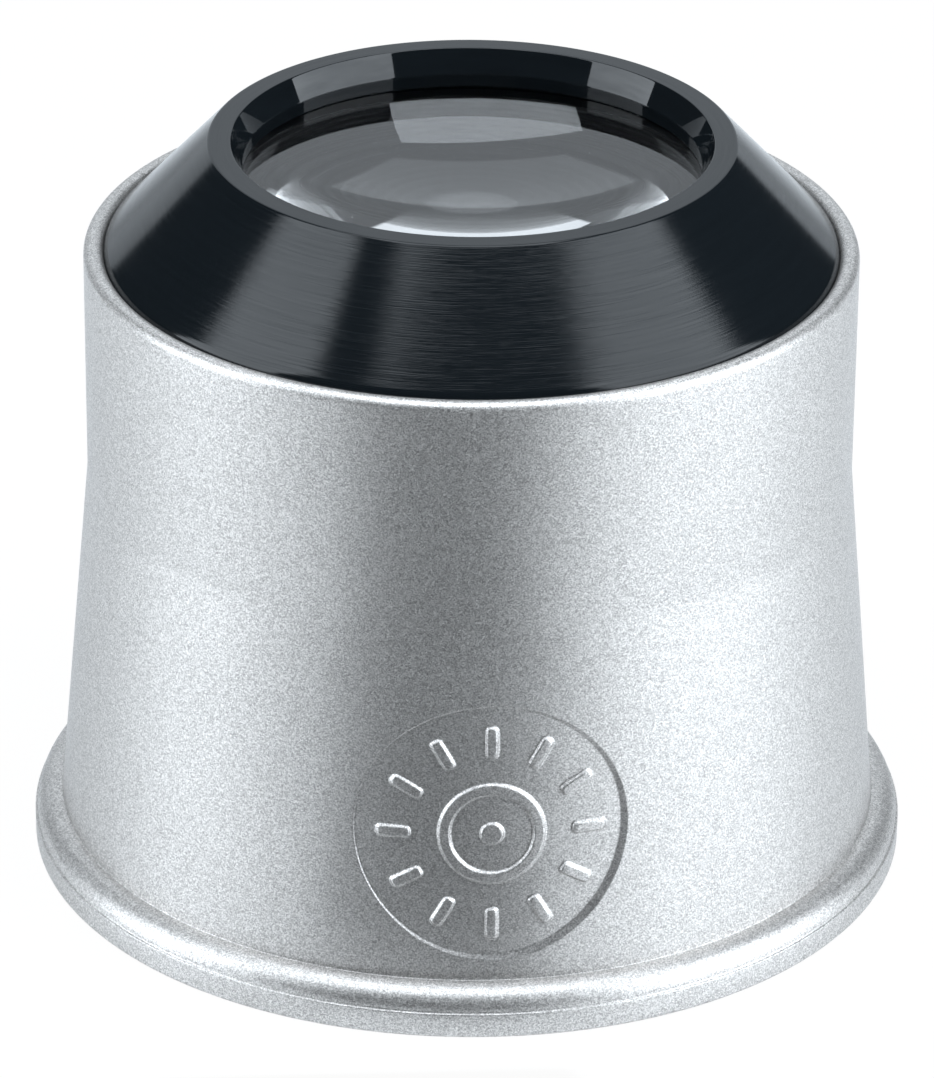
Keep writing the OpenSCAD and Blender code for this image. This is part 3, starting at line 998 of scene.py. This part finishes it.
class LOUPE_OT_studio(bpy.types.Operator):
    """Build the studio: acrylic floor, front card, side panels, overhead panel, room and camera"""

    bl_idname = "loupe.studio"
    bl_label = "Studio"

    def execute(self, context):
        scene = context.scene
        studio = scene.loupe_studio
        scene.view_settings.view_transform = "Standard"
        # Light that enters a lens near its edge is turned back up to six times before it leaves again.
        scene.cycles.glossy_bounces = 8
        wide = 0.7
        corners = [(-wide, -wide, 0), (wide, -wide, 0), (wide, wide, 0), (-wide, wide, 0)]
        flat_sheet("floor", corners, floor_acrylic(scene.loupe_eyecup.rim - 0.0003, DAYLIGHT))
        outline = [(-0.18, -0.25), (0.1, -0.25), (0.003, -0.0205), (-0.013, -0.0205)]
        card = flat_sheet("front_card", [(x, y, 0.0004) for x, y in outline], card_grey())
        card.visible_camera = False
        standing_panel("panel_left", -83, 18, 58, studio.away, studio.left)
        standing_panel("panel_right", 66, 27.5, 58, studio.away, studio.right)
        panel("panel_overhead", (-0.0117, -0.0128, 0.3), (-0.0117, -0.0128, 0), 0.23, 0.229, studio.top, 4.5)
        room_light(studio.room, studio.backdrop)

        lens = bpy.data.cameras.new("camera")
        lens.lens = 213.96
        lens.sensor_width = 36
        lens.clip_start = 0.01
        camera = bpy.data.objects.new("camera", lens)
        # The camera looks 26.45 degrees down and 3.4794 degrees to the right of +Y, rolled by half a degree.
        heading = Matrix.Rotation(math.radians(-3.4794), 4, "Z")
        tilt = Matrix.Rotation(math.radians(90 - 26.45), 4, "X")
        roll = Matrix.Rotation(math.radians(0.5), 4, "Z")
        camera.matrix_world = Matrix.Translation((-0.01436, -0.23476, 0.13)) @ (heading @ tilt @ roll)
        scene.collection.objects.link(camera)
        scene.camera = camera
        return {"FINISHED"}


class LOUPE_PT_panel(bpy.types.Panel):
    """Lists the loupe's pieces and their sizes"""

    bl_idname = "LOUPE_PT_panel"
    bl_label = "Watchmaker's loupe"
    bl_space_type = "VIEW_3D"
    bl_region_type = "UI"
    bl_category = "Loupe"

    def draw(self, context):
        for operator in OPERATORS:
            self.layout.operator(operator.bl_idname)
        for name, group in GROUPS.items():
            box = self.layout.box()
            box.label(text=group.__name__)
            for key in group.__annotations__:
                box.prop(getattr(context.scene, name), key)


OPERATORS = (
    LOUPE_OT_eyecup, LOUPE_OT_lens_cell, LOUPE_OT_lenses, LOUPE_OT_spacer_ring, LOUPE_OT_retaining_ring,
    LOUPE_OT_studio,
)
GROUPS = {
    "loupe_eyecup": EyecupSizes, "loupe_badge": BadgeSizes, "loupe_cell": CellSizes,
    "loupe_optics": OpticsSizes, "loupe_finishes": Finishes, "loupe_studio": Studio,
}


def register():
    for group in GROUPS.values():
        bpy.utils.register_class(group)
    for name, group in GROUPS.items():
        setattr(bpy.types.Scene, name, PointerProperty(type=group))
    for operator in OPERATORS:
        bpy.utils.register_class(operator)
    bpy.utils.register_class(LOUPE_PT_panel)


def unregister():
    bpy.utils.unregister_class(LOUPE_PT_panel)
    for operator in reversed(OPERATORS):
        bpy.utils.unregister_class(operator)
    for name in GROUPS:
        delattr(bpy.types.Scene, name)
    for group in reversed(list(GROUPS.values())):
        bpy.utils.unregister_class(group)


def main():
    register()
    bpy.ops.loupe.eyecup()
    bpy.ops.loupe.lens_cell()
    bpy.ops.loupe.lenses()
    bpy.ops.loupe.spacer_ring()
    bpy.ops.loupe.retaining_ring()
    bpy.ops.loupe.studio()


if __name__ == "__main__":
    main()
